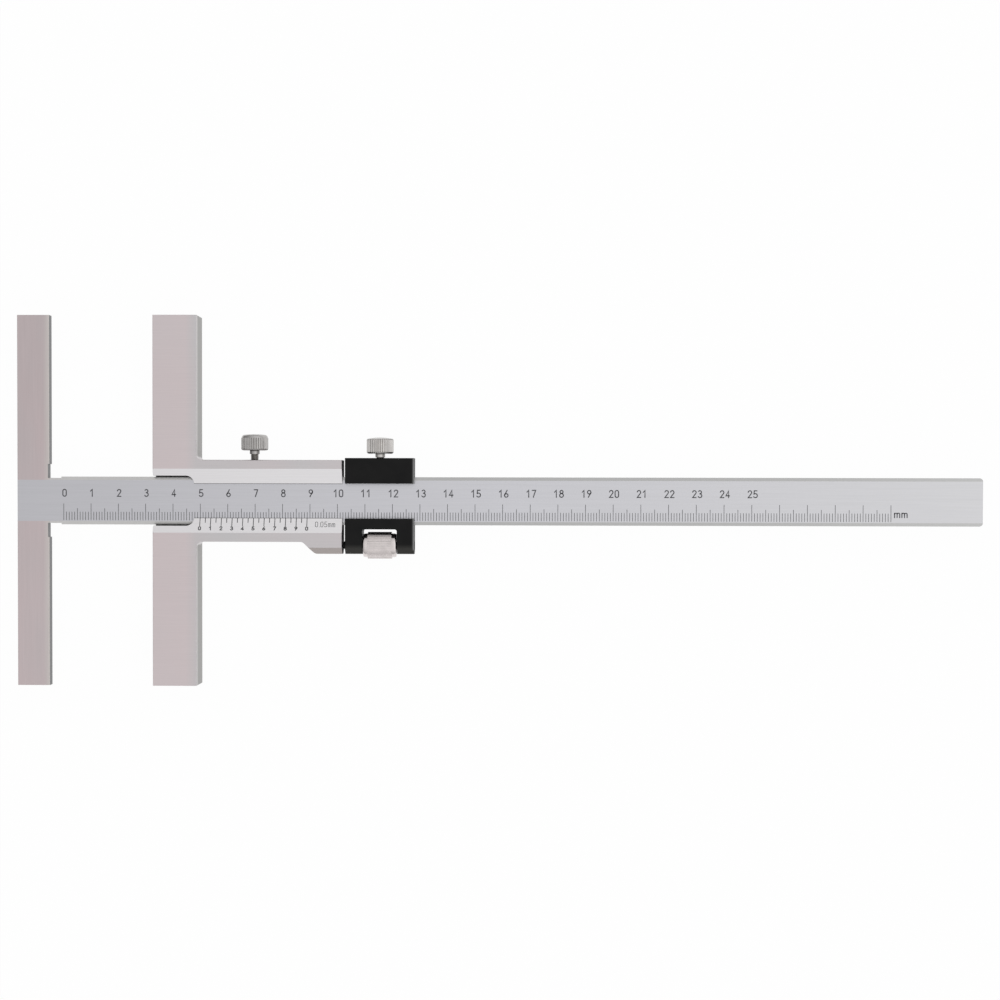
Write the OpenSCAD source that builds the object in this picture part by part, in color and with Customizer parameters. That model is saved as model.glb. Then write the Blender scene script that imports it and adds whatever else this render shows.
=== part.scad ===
// Marking caliper with a T-shaped beam, a cross stop on a sliding vernier body
// and a clamp with a fine-adjustment wheel. It lies on its back: X runs along
// the beam, Y along the two cross bars, and Z up out of the scale face.
// The origin is under the middle of the beam, on the surface the stop rests on.

/* [Beam] */
// Overall length of the beam, from the marking edge to the free end
beam_len = 350; // [345:1:420]
// Width of the beam
beam_w = 17.4; // [16.4:0.1:18.4]
// Thickness of the beam and of the marking bar
beam_t = 3.5; // [3:0.1:4.2]
// Width of the bevel along the long edges of the scale face
beam_bevel_w = 1.2; // [0.6:0.1:1.6]
// Depth of the bevel along the long edges of the scale face
beam_bevel_d = 0.3; // [0.1:0.05:0.5]
// Radius of the corners at the beam's free end
beam_end_r = 1.3; // [0.8:0.1:2.5]

/* [Cross bars] */
// Length of the marking bar and of the stop, across the beam
cross_len = 135; // [100:1:160]

/* [Marking bar] */
// Width of the marking bar, along the beam
bar_w = 11.7; // [9:0.1:13]
// Edge break round the marking bar's front face
bar_edge = 0.2; // [0.1:0.05:0.6]
// Depth of the grinding reliefs in the corners between bar and beam
relief_d = 0.5; // [0.3:0.1:0.8]
// Length of each relief along the beam
relief_beam_len = 4.4; // [3:0.1:6]
// Length of each relief along the bar
relief_bar_len = 4.6; // [3:0.1:6]

/* [Slider] */
// Reading of the vernier, from the marking edge to the stop face
reading = 50; // [15:0.05:240]
// Length of the slider along the beam
slider_len = 68.8; // [66:0.1:76]
// Width of the slider's body across the beam
slider_w = 29.7; // [28:0.1:33]
// Thickness of the slider's body
slider_t = 8.5; // [8:0.1:9.5]
// Height of the slider's front above the scale face
front_rise = 2.2; // [1.8:0.1:2.6]
// Width of the opening that shows the scale
sight_w = 12.4; // [11.6:0.1:13]
// Width of the bevel beside the opening, where the vernier is engraved
vernier_w = 5.4; // [4.5:0.1:6]
// Thickness of the lip that the bevel runs out to
lip_t = 0.3; // [0.2:0.05:0.5]
// Fillet between the stop bars and the body
root_r = 2; // [1:0.1:3]
// Edge break round the slider's front face
slider_edge = 0.2; // [0.1:0.05:0.6]

/* [Stop] */
// Width of the stop bars, along the beam
stop_w = 15.9; // [14:0.1:18]
// Length by which each end of the stop falls short of the marking bar's
stop_short = 0.2; // [0:0.05:1]
// Thickness of the stop bars
stop_t = 11.5; // [10.5:0.1:13]
// Length of the pocket that clears the beam's edges at the stop face
pocket_len = 14.8; // [12:0.1:15.5]
// Gap on each side of the beam in that pocket
pocket_gap = 0.4; // [0.2:0.05:0.6]
// Corner radius at the pocket's inner end
pocket_r = 2.85; // [1.5:0.05:3]

/* [Spindle boss] */
// Length of the boss's flat underside, at the slider's right end
boss_len = 9; // [8.5:0.1:11]
// Height that the boss hangs below the body
boss_drop = 4.35; // [4:0.05:5]
// Radius at the top and the foot of the boss's slope
boss_r = 2.2; // [1:0.1:3]
// Bevel along the lower edges of the boss and of the clamp
boss_bevel = 2.3; // [1.5:0.1:2.6]

/* [Gibs] */
// Thickness of the gib strips between the beam and the lock screws
gib_t = 1.2; // [0.8:0.1:1.5]
// Length of the slider's gib
gib_len = 41; // [38:0.5:41.5]
// Length of the clamp's gib
clamp_gib_len = 18; // [14:0.5:20]
// Free space behind a gib
gib_back_gap = 0.3; // [0.2:0.05:0.5]
// Diameter of the two set screws that press the slider's gib
gib_screw_d = 2.5; // [2:0.1:3]
// Distance of each set screw from the lock screw
gib_screw_step = 16; // [12:0.5:17]
// Depth of the set screws below the slider's top edge
gib_screw_sink = 0.8; // [0.5:0.1:1.2]
// Width of the driver slot in a set screw
driver_slot_w = 0.5; // [0.4:0.05:0.6]
// Depth of the driver slot in a set screw
driver_slot_d = 0.7; // [0.5:0.05:0.9]

/* [Lock screws] */
// Diameter of the knurled heads
head_d = 9.8; // [9:0.1:10.6]
// Diameter of the lock screws' thread
lock_thread_d = 3; // [2.6:0.1:3.4]
// Diameter of the plain neck under each head
lock_neck_d = 3.6; // [3:0.1:4]
// Length of the plain neck under each head
lock_neck_len = 1.3; // [0.8:0.1:1.5]
// Number of knurl teeth round each head
head_teeth = 36; // [24:1:48]
// Depth of the knurl on the heads
head_knurl = 0.22; // [0.1:0.02:0.3]
// Distance of the slider's lock screw from the stop face
slider_lock_at = 36.6; // [36:0.1:38]
// Height of the slider's lock screw head above the body
slider_lock_rise = 3.5; // [2:0.1:5]
// Height of the slider's lock screw head up to the edge of its crown
slider_head_h = 5.7; // [5:0.1:7]
// Height of the crown on the slider's lock screw head
slider_head_crown = 0.2; // [0.1:0.05:0.5]
// Radius of the rounding at the top of the slider's lock screw head
slider_head_top_r = 1.2; // [0.5:0.1:1.6]
// Radius of the rounding at the foot of the slider's lock screw head
slider_head_foot_r = 0.8; // [0.3:0.1:1.2]
// Height of the clamp's lock screw head above the clamp
clamp_lock_rise = 1.65; // [1.5:0.05:3]
// Height of the clamp's lock screw head up to the edge of its crown
clamp_head_h = 5.35; // [4.8:0.05:6.5]
// Height of the crown on the clamp's lock screw head
clamp_head_crown = 0.6; // [0.3:0.05:1]
// Bevel at the lower edge of the clamp's lock screw head
clamp_head_bevel = 0.5; // [0.3:0.05:0.8]
// Bevel between the knurl and the crown of the clamp's lock screw head
clamp_head_rim = 0.35; // [0.3:0.05:0.6]

/* [Clamp] */
// Gap between the slider and the clamp
adjust_gap = 1.1; // [0.6:0.05:4]
// Length of the clamp along the beam
clamp_len = 25; // [24:0.1:28]
// Height of the clamp's top edge above the beam's centre line
clamp_up = 15.6; // [14.5:0.1:17]
// Depth of the clamp's lower edge below the beam's centre line
clamp_down = 19.2; // [18.8:0.1:20.5]
// Width of the opening in the clamp that shows the scale
clamp_sight_w = 12.7; // [12:0.1:13.2]
// Edge break on the clamp's right end
clamp_edge = 0.7; // [0.3:0.05:1]
// Edge break on the clamp's other front edges
clamp_small_edge = 0.3; // [0.2:0.05:0.5]
// Thickness of the web between the beam and the wheel's window
window_web = 1.5; // [1.2:0.1:1.8]
// Corner radius of the wheel's window
window_r = 0.8; // [0.4:0.1:1.5]

/* [Adjusting wheel] */
// Diameter of the wheel
wheel_d = 9.8; // [9.4:0.1:10]
// Length of the wheel
wheel_len = 12; // [10:0.1:13]
// End play of the wheel in its window, at each end
wheel_play = 0.3; // [0.1:0.05:0.5]
// Diameter of the plain shoulder at each end of the wheel
shoulder_d = 8.7; // [8:0.1:8.9]
// Length of the plain shoulder at each end of the wheel
shoulder_len = 1.65; // [1.2:0.05:2.4]
// Height of the bevel at the outer end of each shoulder
shoulder_bevel_h = 0.4; // [0.2:0.05:0.8]
// Length of the bevel at the outer end of each shoulder
shoulder_bevel_len = 1; // [0.4:0.1:1.1]
// Number of knurl teeth round the wheel
wheel_teeth = 48; // [36:1:60]
// Depth of the knurl on the wheel
wheel_knurl = 0.12; // [0.08:0.01:0.2]
// Depth of the wheel's and spindle's axis below the beam's centre line
spindle_down = 16.1; // [16:0.1:16.8]
// Diameter of the spindle
spindle_d = 3; // [2.6:0.1:3.4]
// Depth of the spindle's seat in the boss
spindle_seat = 8; // [6:0.1:8.4]
// Distance that the spindle ends short of the clamp's right end
spindle_short = 1.3; // [1.2:0.1:2]
// Diameter of the pin that holds the spindle in the boss
pin_d = 1.5; // [1.2:0.1:1.7]
// Distance of the pin from the boss's right end
pin_at = 4.5; // [3:0.1:5]
// Cover left over the pin at the front of the boss
pin_cover = 1.6; // [1:0.1:2]

/* [Fits] */
// Running clearance between the beam and what slides on it
slide_fit = 0.05; // [0.03:0.01:0.1]
// Clearance of a screw's thread in its hole
thread_fit = 0.05; // [0.03:0.01:0.1]
// Clearance of the spindle in the clamp's walls
pass_fit = 0.3; // [0.25:0.05:0.4]
// Clearance of a part that is held fast in its seat
seat_fit = 0.02; // [0.01:0.005:0.03]

/* [Hidden] */
$fn = 64;

// How far a cutting shape runs past the face that it opens
past = 1;

// Heights of the faces that lie one above the other
front_z = stop_t;
beam_top_z = front_z - front_rise;
beam_low_z = beam_top_z - beam_t;
slider_low_z = front_z - slider_t;
slot_top_z = beam_top_z + slide_fit;
slot_low_z = beam_low_z - slide_fit;
slot_h = slot_top_z - slot_low_z;
lock_z = beam_low_z + beam_t / 2;
spindle_z = slider_low_z + slider_t / 2;

// Length of the stop across the beam
stop_len = cross_len - 2 * stop_short;

// Places along the beam
marking_x = -beam_len / 2;
beam_end_x = beam_len / 2;
bar_inner_x = marking_x + bar_w;
stop_x = marking_x + reading;
stop_inner_x = stop_x + stop_w;
slider_end_x = stop_x + slider_len;
slider_lock_x = stop_x + slider_lock_at;
clamp_x = slider_end_x + adjust_gap;
clamp_end_x = clamp_x + clamp_len;
clamp_mid_x = clamp_x + clamp_len / 2;
spindle_x = slider_end_x - spindle_seat;
spindle_end_x = clamp_end_x - spindle_short;
pin_x = slider_end_x - pin_at;

// Places across the beam
slot_y = beam_w / 2 + slide_fit;
gib_back_y = slot_y + gib_t;
recess_y = gib_back_y + gib_back_gap;
boss_y = -slider_w / 2 - boss_drop;
window_y = -slot_y - window_web;
window_w = wheel_len + 2 * wheel_play;
wheel_y = -spindle_down;

// A wedge that bevels an edge running along X. The bevel takes w off the face
// that looks along Y and d off the one that looks along Z.
module bevel_along_x(x0, x1, y, z, w, d, side_y = 1, side_z = 1) {
    translate([x0, y, z])
        rotate([90, 0, 90])
            linear_extrude(x1 - x0)
                polygon([[-2 * w * side_y, d * side_z],
                         [w * side_y, -2 * d * side_z],
                         [w * side_y, d * side_z]]);
}

// The same for an edge running along Y
module bevel_along_y(y0, y1, x, z, w, d, side_x = 1, side_z = 1) {
    translate([x, y1, z])
        rotate([90, 0, 0])
            linear_extrude(y1 - y0)
                polygon([[-2 * w * side_x, d * side_z],
                         [w * side_x, -2 * d * side_z],
                         [w * side_x, d * side_z]]);
}

// The same for an edge running along Z
module bevel_along_z(z0, z1, x, y, w, side_x = 1, side_y = 1) {
    translate([x, y, z0])
        linear_extrude(z1 - z0)
            polygon([[-2 * w * side_x, w * side_y],
                     [w * side_x, -2 * w * side_y],
                     [w * side_x, w * side_y]]);
}

// Bevels round the front face of a bar that runs along Y
module bar_front_bevels(x0, x1, len, edge) {
    for (side = [-1, 1]) {
        bevel_along_y(-len / 2 - past, len / 2 + past, side < 0 ? x0 : x1, 0, edge, edge, side);
        bevel_along_x(x0 - past, x1 + past, side * len / 2, 0, edge, edge, side);
    }
}

// Points along an arc, for the outlines
function arc_points(x, y, r, from, to, steps = 8) =
    [for (i = [0:steps]) let (a = from + (to - from) * i / steps) [x + r * cos(a), y + r * sin(a)]];

// The outline of the T: the marking bar and the beam with its rounded end
module beam_outline() {
    translate([marking_x, -cross_len / 2])
        square([bar_w, cross_len]);
    translate([marking_x, -beam_w / 2])
        square([beam_len - beam_end_r, beam_w]);
    translate([beam_end_x - 2 * beam_end_r, -beam_w / 2 + beam_end_r])
        square([2 * beam_end_r, beam_w - 2 * beam_end_r]);
    for (side = [-1, 1])
        translate([beam_end_x - beam_end_r, side * (beam_w / 2 - beam_end_r)])
            circle(beam_end_r);
}

// The reliefs that let the stop close flush against the marking bar
module corner_reliefs() {
    for (side = [0, 1])
        mirror([0, side])
            translate([bar_inner_x - relief_d, beam_w / 2 - relief_d]) {
                square([relief_d + relief_beam_len, relief_d + past]);
                square([relief_d + past, relief_d + relief_bar_len]);
            }
}

module beam() color([0.73, 0.73, 0.75]) {
    difference() {
        translate([0, 0, beam_low_z])
            linear_extrude(beam_t)
                difference() {
                    beam_outline();
                    corner_reliefs();
                }
        for (side = [-1, 1])
            bevel_along_x(bar_inner_x, beam_end_x + past, side * beam_w / 2, beam_top_z,
                          beam_bevel_w, beam_bevel_d, side);
        bevel_along_y(-beam_w / 2 - past, beam_w / 2 + past, beam_end_x, beam_top_z,
                      beam_bevel_d, beam_bevel_d);
        translate([0, 0, beam_top_z])
            bar_bevels_beside_beam();
    }
}

// The marking bar's edge breaks, left out where the beam crosses it
module bar_bevels_beside_beam() {
    difference() {
        bar_front_bevels(marking_x, bar_inner_x, cross_len, bar_edge);
        translate([bar_inner_x - bar_w / 2, -beam_w / 2 - relief_d, -past])
            cube([bar_w, beam_w + 2 * relief_d, 2 * past]);
    }
}

// The cross-section that the beam runs through, with a sight opening of the
// given width above it. The opening's sides stand upright, or slope out with
// the vernier bevel.
module slot_section(opening_w, bevel_out) {
    lip_y = opening_w / 2;
    polygon([[-slot_y, slot_low_z], [slot_y, slot_low_z],
             [slot_y, slot_top_z], [lip_y, slot_top_z],
             [lip_y, slot_top_z + lip_t], [lip_y + bevel_out, front_z],
             [lip_y + bevel_out, front_z + past], [-lip_y - bevel_out, front_z + past],
             [-lip_y - bevel_out, front_z], [-lip_y, slot_top_z + lip_t],
             [-lip_y, slot_top_z], [-slot_y, slot_top_z]]);
}

module slot(x0, x1, opening_w, bevel_out) {
    translate([x0 - past, 0, 0])
        rotate([90, 0, 90])
            linear_extrude(x1 - x0 + 2 * past)
                slot_section(opening_w, bevel_out);
}

// The room that a gib has above the beam
module gib_recess(x, len) {
    translate([x - len / 2, slot_y - past, slot_low_z])
        cube([len, recess_y - slot_y + past, slot_h]);
}

// A gib: a flat strip with bevelled ends
module gib(x, len, end_play) {
    strip_len = len - 2 * end_play;
    strip_h = slot_h - 2 * slide_fit;
    difference() {
        translate([x - strip_len / 2, slot_y, slot_low_z + slide_fit])
            cube([strip_len, gib_t, strip_h]);
        for (side = [-1, 1])
            bevel_along_z(slot_low_z, slot_top_z, x + side * strip_len / 2, gib_back_y,
                          gib_t / 4, side);
    }
}

// A round hole from an upper edge down to the gib below it
module hole_to_gib(x, top_y, d) {
    translate([x, top_y + past, lock_z])
        rotate([90, 0, 0])
            cylinder(h = top_y + past - recess_y + gib_back_gap / 2, d = d);
}

// The outline of the boss, with the sloped shoulder that leads down to it
module boss_outline() {
    flat_x = slider_end_x - boss_len;
    fall = boss_drop - 2 * boss_r * (1 - cos(45));
    slope_x = flat_x - 2 * boss_r * sin(45) - fall;
    body_y = -slider_w / 2;
    polygon(concat([[slope_x, body_y + past]],
                   arc_points(slope_x, body_y - boss_r, boss_r, 90, 45),
                   arc_points(flat_x, boss_y + boss_r, boss_r, 225, 270),
                   [[slider_end_x, boss_y], [slider_end_x, body_y + past]]));
}

// The outline of the slider's body, where it meets the stop bars with fillets
module body_outline() {
    translate([stop_x, -slider_w / 2])
        square([slider_len, slider_w]);
    boss_outline();
    for (side = [0, 1])
        mirror([0, side])
            translate([stop_inner_x, slider_w / 2])
                difference() {
                    translate([-past, -past])
                        square(root_r + past);
                    translate([root_r, root_r])
                        circle(root_r);
                }
}

// The pocket at the stop face, where the lips are cut back beside the beam
module stop_pocket() {
    half_w = beam_w / 2 + pocket_gap;
    translate([stop_x, 0, slot_low_z])
        linear_extrude(front_z - slot_low_z + past) {
            translate([-past, -half_w])
                square([past + pocket_len - pocket_r, 2 * half_w]);
            translate([0, -half_w + pocket_r])
                square([pocket_len, 2 * (half_w - pocket_r)]);
            for (side = [-1, 1])
                translate([pocket_len - pocket_r, side * (half_w - pocket_r)])
                    circle(pocket_r);
        }
}

module slider() color([0.77, 0.73, 0.74]) {
    difference() {
        union() {
            translate([stop_x, -stop_len / 2, 0])
                cube([stop_w, stop_len, stop_t]);
            translate([0, 0, slider_low_z])
                linear_extrude(slider_t)
                    body_outline();
        }
        slot(stop_x, slider_end_x, sight_w, vernier_w);
        stop_pocket();
        gib_recess(slider_lock_x, gib_len);
        hole_to_gib(slider_lock_x, slider_w / 2, lock_thread_d + 2 * thread_fit);
        for (side = [-1, 1])
            hole_to_gib(slider_lock_x + side * gib_screw_step, slider_w / 2,
                        gib_screw_d + 2 * thread_fit);
        spindle_seat_holes();
        slider_edge_bevels();
        boss_bevels();
    }
}

// The seat of the spindle, drilled from the right, and of its pin, from behind
module spindle_seat_holes() {
    translate([spindle_x, wheel_y, spindle_z])
        rotate([0, 90, 0])
            cylinder(h = spindle_seat + past, d = spindle_d + 2 * seat_fit);
    translate([pin_x, wheel_y, slider_low_z - past])
        cylinder(h = slider_t - pin_cover + past, d = pin_d + 2 * seat_fit);
}

module slider_edge_bevels() {
    for (side = [-1, 1]) {
        bevel_along_x(stop_x - past, stop_inner_x + past, side * stop_len / 2, front_z,
                      slider_edge, slider_edge, side);
        bevel_along_y(side < 0 ? -stop_len / 2 - past : slider_w / 2 + root_r,
                      side < 0 ? -slider_w / 2 - root_r : stop_len / 2 + past,
                      stop_inner_x, front_z, slider_edge, slider_edge);
    }
    bevel_along_y(-stop_len / 2 - past, stop_len / 2 + past, stop_x, front_z,
                  slider_edge, slider_edge, -1);
    bevel_along_y(boss_y - past, slider_w / 2 + past, slider_end_x, front_z,
                  slider_edge, slider_edge);
    bevel_along_y(boss_y - past, slider_w / 2 + past, slider_end_x, slider_low_z,
                  slider_edge, slider_edge, 1, -1);
    bevel_along_x(stop_inner_x + root_r, slider_end_x + past, slider_w / 2, front_z,
                  slider_edge, slider_edge);
}

// The wide bevels along the lower edges of the boss, in front and behind
module boss_bevels() {
    bevel_along_x(stop_inner_x + root_r, slider_end_x + past, boss_y, front_z,
                  boss_bevel, boss_bevel, -1);
    bevel_along_x(stop_inner_x + root_r, slider_end_x + past, boss_y, slider_low_z,
                  boss_bevel, boss_bevel, -1, -1);
}

module slider_gib() color([0.72, 0.56, 0.3])
    gib(slider_lock_x, gib_len, slide_fit);

// A slotted set screw, sunk below the slider's top edge
module gib_screw(x) {
    top_y = slider_w / 2 - gib_screw_sink;
    difference() {
        translate([x, top_y, lock_z])
            rotate([90, 0, 0])
                cylinder(h = top_y - gib_back_y, d = gib_screw_d);
        translate([x - gib_screw_d, top_y - driver_slot_d, lock_z - driver_slot_w / 2])
            cube([2 * gib_screw_d, driver_slot_d + past, driver_slot_w]);
    }
}

module gib_screw_left() color([0.35, 0.35, 0.36])
    gib_screw(slider_lock_x - gib_screw_step);

module gib_screw_right() color([0.35, 0.35, 0.36])
    gib_screw(slider_lock_x + gib_screw_step);

// The star-shaped outline of a straight knurl. Its points stand proud of the
// blank's diameter d, so that the blank's surface is left as a land on each.
module knurl_outline(d, teeth, depth) {
    polygon([for (i = [0:2 * teeth - 1])
             let (r = i % 2 == 0 ? d / 2 + depth : d / 2 - depth, a = 180 * i / teeth)
             [r * cos(a), r * sin(a)]]);
}

// A lock screw standing on its tip: thread, plain neck and knurled head.
// The head's profile is given as points from its lower to its upper centre.
module lock_screw(thread_len, head_profile, head_len) {
    cylinder(h = thread_len, d = lock_thread_d);
    translate([0, 0, thread_len - lock_neck_len])
        cylinder(h = lock_neck_len + head_len / 2, d = lock_neck_d);
    translate([0, 0, thread_len])
        intersection() {
            rotate_extrude()
                polygon(head_profile);
            translate([0, 0, -past])
                linear_extrude(head_len + 2 * past)
                    knurl_outline(head_d, head_teeth, head_knurl);
        }
}

// Stands a lock screw upright in Y over a gib
module place_lock_screw(x) {
    translate([x, gib_back_y, lock_z])
        rotate([-90, 0, 0])
            children();
}

// Points of a crown that rises from a rim at radius rim_r and height rim_h.
// It keeps a small flat in the middle, where the screw was cut off.
function crown_points(rim_r, rim_h, rise) =
    let (r = (rim_r * rim_r + rise * rise) / (2 * rise),
         rim_a = asin(rim_r / r),
         flat_a = rim_a / 8,
         centre_h = rim_h + rise - r)
    concat(arc_points(0, centre_h, r, 90 - rim_a, 90 - flat_a, 5),
           [[0, centre_h + r * cos(flat_a)]]);

module slider_lock_screw() color([0.66, 0.65, 0.65]) {
    r = head_d / 2;
    top_r = slider_head_top_r;
    foot_r = slider_head_foot_r;
    steps = 6;
    // The upper rounding ends one step before the point where the crown begins
    profile = concat([[0, 0]],
                     arc_points(r - foot_r, foot_r, foot_r, 270, 360, steps),
                     arc_points(r - top_r, slider_head_h - top_r, top_r,
                                0, 90 - 90 / steps, steps - 1),
                     crown_points(r - top_r, slider_head_h, slider_head_crown));
    place_lock_screw(slider_lock_x)
        lock_screw(slider_w / 2 + slider_lock_rise - gib_back_y, profile,
                   slider_head_h + slider_head_crown);
}

module clamp_lock_screw() color([0.68, 0.67, 0.67]) {
    b = clamp_head_bevel;
    r = head_d / 2;
    profile = concat([[0, 0], [r - b, 0], [r, b], [r, clamp_head_h - clamp_head_rim]],
                     crown_points(r - clamp_head_rim, clamp_head_h, clamp_head_crown));
    place_lock_screw(clamp_mid_x)
        lock_screw(clamp_up + clamp_lock_rise - gib_back_y, profile,
                   clamp_head_h + clamp_head_crown);
}

// The outline of the clamp, with the wheel's window open at the bottom
module clamp_outline() {
    difference() {
        translate([clamp_x, -clamp_down])
            square([clamp_len, clamp_down + clamp_up]);
        translate([clamp_mid_x - window_w / 2, -clamp_down - past])
            square([window_w, clamp_down + past + window_y - window_r]);
        translate([clamp_mid_x - window_w / 2 + window_r, -clamp_down - past])
            square([window_w - 2 * window_r, clamp_down + past + window_y]);
        for (side = [-1, 1])
            translate([clamp_mid_x + side * (window_w / 2 - window_r), window_y - window_r])
                circle(window_r);
    }
}

module clamp_edge_bevels() {
    for (side = [-1, 1]) {
        z = side < 0 ? slider_low_z : front_z;
        bevel_along_y(-clamp_down - past, clamp_up + past, clamp_end_x, z,
                      clamp_edge, clamp_edge, 1, side);
        bevel_along_y(-clamp_down - past, clamp_up + past, clamp_x, z,
                      clamp_small_edge, clamp_small_edge, -1, side);
        bevel_along_x(clamp_x - past, clamp_end_x + past, clamp_up, z,
                      clamp_small_edge, clamp_small_edge, 1, side);
        bevel_along_x(clamp_x - past, clamp_end_x + past, -clamp_down, z,
                      boss_bevel, boss_bevel, -1, side);
    }
}

module clamp_block() color([0.13, 0.13, 0.13]) {
    difference() {
        translate([0, 0, slider_low_z])
            linear_extrude(slider_t)
                clamp_outline();
        slot(clamp_x, clamp_end_x, clamp_sight_w, 0);
        gib_recess(clamp_mid_x, clamp_gib_len);
        hole_to_gib(clamp_mid_x, clamp_up, lock_thread_d + 2 * thread_fit);
        translate([clamp_x - past, wheel_y, spindle_z])
            rotate([0, 90, 0])
                cylinder(h = clamp_len + 2 * past, d = spindle_d + 2 * pass_fit);
        clamp_edge_bevels();
    }
}

module clamp_gib() color([0.72, 0.56, 0.3])
    gib(clamp_mid_x, clamp_gib_len, slide_fit);

// The spindle runs from its seat in the boss through the wheel and both walls
module adjusting_spindle() color([0.6, 0.6, 0.61]) {
    len = spindle_end_x - spindle_x;
    tip = spindle_d / 8;
    difference() {
        translate([spindle_x, wheel_y, spindle_z])
            rotate([0, 90, 0])
                union() {
                    cylinder(h = len - tip, d = spindle_d);
                    translate([0, 0, len - tip])
                        cylinder(h = tip, d1 = spindle_d, d2 = spindle_d - 2 * tip);
                }
        translate([pin_x, wheel_y, slider_low_z])
            cylinder(h = slider_t, d = pin_d + 2 * seat_fit);
    }
}

module spindle_pin() color([0.55, 0.55, 0.56])
    translate([pin_x, wheel_y, slider_low_z])
        cylinder(h = slider_t - pin_cover, d = pin_d);

// The wheel's profile: a barrel between two plain shoulders with bevelled ends
module wheel_profile() {
    r = wheel_d / 2;
    s = shoulder_d / 2;
    s_end = s - shoulder_bevel_h;
    polygon([[0, 0], [s_end, 0], [s, shoulder_bevel_len], [s, shoulder_len],
             [r, shoulder_len], [r, wheel_len - shoulder_len], [s, wheel_len - shoulder_len],
             [s, wheel_len - shoulder_bevel_len], [s_end, wheel_len], [0, wheel_len]]);
}

module adjusting_wheel() color([0.77, 0.75, 0.75]) {
    translate([clamp_mid_x - wheel_len / 2, wheel_y, spindle_z])
        rotate([0, 90, 0])
            difference() {
                intersection() {
                    rotate_extrude()
                        wheel_profile();
                    translate([0, 0, -past])
                        linear_extrude(wheel_len + 2 * past)
                            knurl_outline(wheel_d, wheel_teeth, wheel_knurl);
                }
                translate([0, 0, -past])
                    cylinder(h = wheel_len + 2 * past, d = spindle_d + 2 * thread_fit);
            }
}

beam();
slider();
slider_gib();
gib_screw_left();
gib_screw_right();
slider_lock_screw();
adjusting_spindle();
spindle_pin();
clamp_block();
clamp_gib();
clamp_lock_screw();
adjusting_wheel();
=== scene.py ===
import math

import bmesh
import bpy
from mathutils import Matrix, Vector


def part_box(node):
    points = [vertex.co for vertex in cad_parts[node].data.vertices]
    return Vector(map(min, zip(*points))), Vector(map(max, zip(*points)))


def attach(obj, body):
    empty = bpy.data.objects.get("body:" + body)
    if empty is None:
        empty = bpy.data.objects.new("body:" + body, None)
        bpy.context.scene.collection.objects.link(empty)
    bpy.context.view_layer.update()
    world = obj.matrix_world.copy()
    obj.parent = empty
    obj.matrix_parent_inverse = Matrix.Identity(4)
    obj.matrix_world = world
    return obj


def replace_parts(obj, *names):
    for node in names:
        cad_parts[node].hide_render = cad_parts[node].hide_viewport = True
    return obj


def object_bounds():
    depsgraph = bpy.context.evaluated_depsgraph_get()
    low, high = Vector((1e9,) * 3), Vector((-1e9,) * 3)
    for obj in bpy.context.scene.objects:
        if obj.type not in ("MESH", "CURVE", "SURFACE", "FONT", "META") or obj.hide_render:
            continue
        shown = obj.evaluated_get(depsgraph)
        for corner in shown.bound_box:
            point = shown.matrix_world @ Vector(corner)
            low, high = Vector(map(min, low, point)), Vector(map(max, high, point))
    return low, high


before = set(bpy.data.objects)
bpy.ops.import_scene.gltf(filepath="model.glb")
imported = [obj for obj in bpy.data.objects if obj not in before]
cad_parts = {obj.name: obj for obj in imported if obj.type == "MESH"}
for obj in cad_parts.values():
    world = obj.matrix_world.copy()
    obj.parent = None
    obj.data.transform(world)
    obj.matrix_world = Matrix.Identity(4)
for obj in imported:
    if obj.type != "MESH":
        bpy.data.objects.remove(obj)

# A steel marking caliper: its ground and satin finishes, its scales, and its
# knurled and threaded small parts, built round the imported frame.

MM = 0.001
cad_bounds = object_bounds()

beam_low, beam_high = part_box("beam")
slider_low, slider_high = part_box("slider")
clamp_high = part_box("clamp_block")[1]

# The photograph's camera, fitted to the scale's marks and the bars' corners
CAMERA_PLACE = (7.513 * MM, 0.947 * MM, 609.3 * MM)
CAMERA_PITCH, CAMERA_YAW, CAMERA_ROLL = (math.radians(a) for a in (-1.1078, 1.3015, 0.1281))
CAMERA_FOCAL_PX = 1655.32
CAMERA_SHIFT_PX = (19.75, 30.84)
CAMERA_NEAR = 0.01
PHOTO_PX = 1000
SENSOR_MM = 36

# The T: the beam's half width with and without its bevels, and the marking bar's width
BEAM_HALF_W = 8.7 * MM
FACE_HALF_W = 7.5 * MM
BAR_W = 11.7 * MM
BAR_INNER_X = beam_low.x + BAR_W

# The slider: the stop's inner face, the beam's pocket and slot, and the boss's bevel
STOP_INNER_X = slider_low.x + 15.9 * MM
POCKET_END_X = slider_low.x + 14.8 * MM
SLOT_LOW_Z = 5.75 * MM
BOSS_BEVEL_Y = -16.9 * MM

# The scale: its zero lies this far from the marking edge, as the vernier's does from the stop face
ZERO_OFFSET = 17 * MM
SCALE_LEN_MM = 300
LAST_NUMBER = 25
SCALE_FOOT_Y = -7.15 * MM
TICK_TOPS = {10: -1.1 * MM, 5: -2.85 * MM, 1: -4.1 * MM}
TICK_W = 0.19 * MM
NUMBER_BASE_Y = 1.53 * MM
NUMBER_H = 2.5 * MM
NUMBER_STROKE = 0.39 * MM
NUMBER_OFFSET = 0.3 * MM
UNIT_PLACE = (143.3 * MM, -5.5 * MM)
UNIT_H = 2.28 * MM
UNIT_STRETCH = 1.45

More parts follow.
